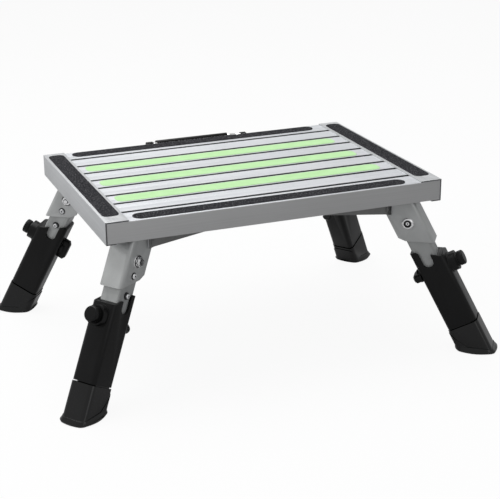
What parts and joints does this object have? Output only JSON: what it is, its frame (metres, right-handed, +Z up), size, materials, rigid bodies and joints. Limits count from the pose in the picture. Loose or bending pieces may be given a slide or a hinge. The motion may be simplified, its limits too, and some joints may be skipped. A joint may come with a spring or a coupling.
{
  "type": "caravan entry step",
  "caption": "Portable folding step with a slatted aluminium deck, splayed telescoping legs that fold under it, and a carrying bail at the back.",
  "frame": {"origin": "on the ground under the middle of the deck", "axes": "+Z up, +X to the right along the deck, +Y to the back, where the carrying handle is"},
  "size_m": [0.6426, 0.464, 0.2518],
  "materials": {
    "aluminium": "brushed",
    "grip_tape": "gritty",
    "glow_film": "matte",
    "painted_steel": "satin",
    "zinc_steel": "satin",
    "bright_steel": "polished",
    "black_plastic": "satin",
    "rubber": "satin"
  },
  "bodies": {
    "deck": {"rear_plank": "aluminium", "front_plank": "aluminium", "slat_1": "aluminium", "slat_2": "aluminium", "slat_3": "aluminium", "slat_4": "aluminium", "slat_5": "aluminium", "slat_6": "aluminium", "slat_7": "aluminium", "left_cap": "aluminium", "right_cap": "aluminium", "cap_rivets": "zinc_steel", "cap_tapes": "grip_tape", "plank_tapes": "grip_tape", "glow_strips": "glow_film", "cross_plate": "painted_steel", "plate_rivets": "zinc_steel", "bracket_rivets": "zinc_steel", "pivot_bolts": "zinc_steel", "pivot_nuts": "zinc_steel", "handle_ears": "black_plastic", "handle_screws": "zinc_steel", "front_left_bracket": "painted_steel", "rear_left_bracket": "painted_steel", "front_right_bracket": "painted_steel", "rear_right_bracket": "painted_steel"},
    "handle": {"handle_bail": "zinc_steel", "handle_grip": "rubber"},
    "front_left_leg": {"front_left_leg_tube": "painted_steel"},
    "front_left_sleeve": {"front_left_sleeve": "black_plastic", "front_left_foot": "rubber"},
    "front_left_push_button": {"front_left_push_button": "black_plastic"},
    "front_left_clamp_knob": {"front_left_clamp_knob": "black_plastic"},
    "front_left_fold_button": {"front_left_fold_button": "bright_steel"},
    "front_left_stop_button": {"front_left_stop_button": "bright_steel"},
    "rear_left_leg": {"rear_left_leg_tube": "painted_steel"},
    "rear_left_sleeve": {"rear_left_sleeve": "black_plastic", "rear_left_foot": "rubber"},
    "rear_left_push_button": {"rear_left_push_button": "black_plastic"},
    "rear_left_clamp_knob": {"rear_left_clamp_knob": "black_plastic"},
    "rear_left_fold_button": {"rear_left_fold_button": "bright_steel"},
    "rear_left_stop_button": {"rear_left_stop_button": "bright_steel"},
    "front_right_leg": {"front_right_leg_tube": "painted_steel"},
    "front_right_sleeve": {"front_right_sleeve": "black_plastic", "front_right_foot": "rubber"},
    "front_right_push_button": {"front_right_push_button": "black_plastic"},
    "front_right_clamp_knob": {"front_right_clamp_knob": "black_plastic"},
    "front_right_fold_button": {"front_right_fold_button": "bright_steel"},
    "front_right_stop_button": {"front_right_stop_button": "bright_steel"},
    "rear_right_leg": {"rear_right_leg_tube": "painted_steel"},
    "rear_right_sleeve": {"rear_right_sleeve": "black_plastic", "rear_right_foot": "rubber"},
    "rear_right_push_button": {"rear_right_push_button": "black_plastic"},
    "rear_right_clamp_knob": {"rear_right_clamp_knob": "black_plastic"},
    "rear_right_fold_button": {"rear_right_fold_button": "bright_steel"},
    "rear_right_stop_button": {"rear_right_stop_button": "bright_steel"}
  },
  "joints": [
    {"name": "handle_swing", "type": "hinge", "parent": "deck", "child": "handle", "pos_m": [0.005, 0.178, 0.246], "axis": [1, 0, 0], "range_deg": [-70, 100]},
    {"name": "front_left_fold", "type": "hinge", "parent": "deck", "child": "front_left_leg", "pos_m": [-0.208, -0.1455, 0.189], "axis": [-0.5732, 0.8194, 0], "range_deg": [-118, 0]},
    {"name": "front_left_extend", "type": "slide", "parent": "front_left_leg", "child": "front_left_sleeve", "axis": [-0.3847, -0.2691, -0.8829], "range_m": [-0.007, 0.05]},
    {"name": "front_left_push", "type": "slide", "parent": "front_left_sleeve", "child": "front_left_push_button", "axis": [-0.7235, -0.5061, 0.4695], "range_m": [-0.005, 0], "stiffness_N_per_m": 500},
    {"name": "front_left_clamp", "type": "hinge", "parent": "front_left_sleeve", "child": "front_left_clamp_knob", "pos_m": [-0.23993, -0.16784, 0.11571], "axis": [-0.7235, -0.5061, 0.4695], "range_deg": [0, 180]},
    {"name": "front_left_lock", "type": "slide", "parent": "deck", "child": "front_left_fold_button", "axis": [0.5732, -0.8194, 0], "range_m": [-0.003, 0], "stiffness_N_per_m": 500},
    {"name": "front_left_stop", "type": "slide", "parent": "front_left_leg", "child": "front_left_stop_button", "axis": [0.5732, -0.8194, 0], "range_m": [-0.003, 0], "stiffness_N_per_m": 500},
    {"name": "rear_left_fold", "type": "hinge", "parent": "deck", "child": "rear_left_leg", "pos_m": [-0.208, 0.1455, 0.189], "axis": [0.5732, 0.8194, 0], "range_deg": [-118, 0]},
    {"name": "rear_left_extend", "type": "slide", "parent": "rear_left_leg", "child": "rear_left_sleeve", "axis": [-0.3847, 0.2691, -0.8829], "range_m": [-0.007, 0.05]},
    {"name": "rear_left_push", "type": "slide", "parent": "rear_left_sleeve", "child": "rear_left_push_button", "axis": [-0.7235, 0.5061, 0.4695], "range_m": [-0.005, 0], "stiffness_N_per_m": 500},
    {"name": "rear_left_clamp", "type": "hinge", "parent": "rear_left_sleeve", "child": "rear_left_clamp_knob", "pos_m": [-0.23993, 0.16784, 0.11571], "axis": [-0.7235, 0.5061, 0.4695], "range_deg": [0, 180]},
    {"name": "rear_left_lock", "type": "slide", "parent": "deck", "child": "rear_left_fold_button", "axis": [-0.5732, -0.8194, 0], "range_m": [-0.003, 0], "stiffness_N_per_m": 500},
    {"name": "rear_left_stop", "type": "slide", "parent": "rear_left_leg", "child": "rear_left_stop_button", "axis": [-0.5732, -0.8194, 0], "range_m": [-0.003, 0], "stiffness_N_per_m": 500},
    {"name": "front_right_fold", "type": "hinge", "parent": "deck", "child": "front_right_leg", "pos_m": [0.208, -0.1455, 0.189], "axis": [-0.5732, -0.8194, 0], "range_deg": [-118, 0]},
    {"name": "front_right_extend", "type": "slide", "parent": "front_right_leg", "child": "front_right_sleeve", "axis": [0.3847, -0.2691, -0.8829], "range_m": [-0.007, 0.05]},
    {"name": "front_right_push", "type": "slide", "parent": "front_right_sleeve", "child": "front_right_push_button", "axis": [0.7235, -0.5061, 0.4695], "range_m": [-0.005, 0], "stiffness_N_per_m": 500},
    {"name": "front_right_clamp", "type": "hinge", "parent": "front_right_sleeve", "child": "front_right_clamp_knob", "pos_m": [0.23993, -0.16784, 0.11571], "axis": [0.7235, -0.5061, 0.4695], "range_deg": [0, 180]},
    {"name": "front_right_lock", "type": "slide", "parent": "deck", "child": "front_right_fold_button", "axis": [0.5732, 0.8194, 0], "range_m": [-0.003, 0], "stiffness_N_per_m": 500},
    {"name": "front_right_stop", "type": "slide", "parent": "front_right_leg", "child": "front_right_stop_button", "axis": [0.5732, 0.8194, 0], "range_m": [-0.003, 0], "stiffness_N_per_m": 500},
    {"name": "rear_right_fold", "type": "hinge", "parent": "deck", "child": "rear_right_leg", "pos_m": [0.208, 0.1455, 0.189], "axis": [0.5732, -0.8194, 0], "range_deg": [-118, 0]},
    {"name": "rear_right_extend", "type": "slide", "parent": "rear_right_leg", "child": "rear_right_sleeve", "axis": [0.3847, 0.2691, -0.8829], "range_m": [-0.007, 0.05]},
    {"name": "rear_right_push", "type": "slide", "parent": "rear_right_sleeve", "child": "rear_right_push_button", "axis": [0.7235, 0.5061, 0.4695], "range_m": [-0.005, 0], "stiffness_N_per_m": 500},
    {"name": "rear_right_clamp", "type": "hinge", "parent": "rear_right_sleeve", "child": "rear_right_clamp_knob", "pos_m": [0.23993, 0.16784, 0.11571], "axis": [0.7235, 0.5061, 0.4695], "range_deg": [0, 180]},
    {"name": "rear_right_lock", "type": "slide", "parent": "deck", "child": "rear_right_fold_button", "axis": [-0.5732, 0.8194, 0], "range_m": [-0.003, 0], "stiffness_N_per_m": 500},
    {"name": "rear_right_stop", "type": "slide", "parent": "rear_right_leg", "child": "rear_right_stop_button", "axis": [-0.5732, 0.8194, 0], "range_m": [-0.003, 0], "stiffness_N_per_m": 500}
  ]
}
